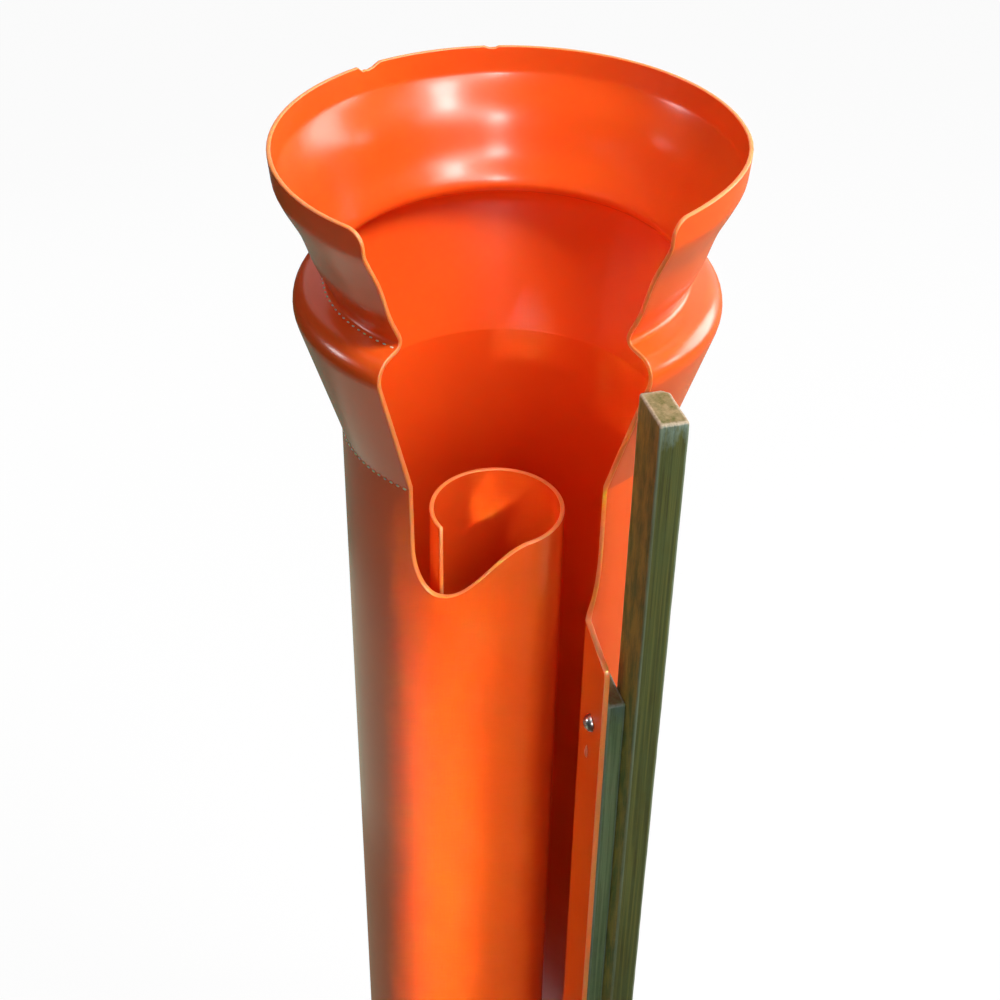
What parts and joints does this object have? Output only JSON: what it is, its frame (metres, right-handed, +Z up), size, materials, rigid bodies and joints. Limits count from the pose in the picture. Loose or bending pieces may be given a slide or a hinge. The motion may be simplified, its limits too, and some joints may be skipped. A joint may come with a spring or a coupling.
{
  "type": "driveway snow marker",
  "caption": "Tall open-fronted marker post of rolled plastic sheet with a flared head and an inner scroll, its flange screwed through a lath to a timber stake.",
  "frame": {"origin": "centre of the object's box, on the ground under its foot", "axes": "+Z up along the post; the open front faces -Y, and the stake stands at the front right (+X, -Y)"},
  "size_m": [0.2998, 0.2978, 1.2],
  "materials": {
    "sheet": "moulded gloss",
    "lath_timber": "planed, pressure treated, weathered",
    "stake_timber": "planed, pressure treated, weathered",
    "screw_metal": "zinc plated"
  },
  "bodies": {
    "root": {"flared_head": "sheet", "rolled_sheet": "sheet", "lath": "lath_timber", "stake": "stake_timber", "screw_1": "screw_metal", "screw_2": "screw_metal", "screw_3": "screw_metal"}
  },
  "joints": []
}
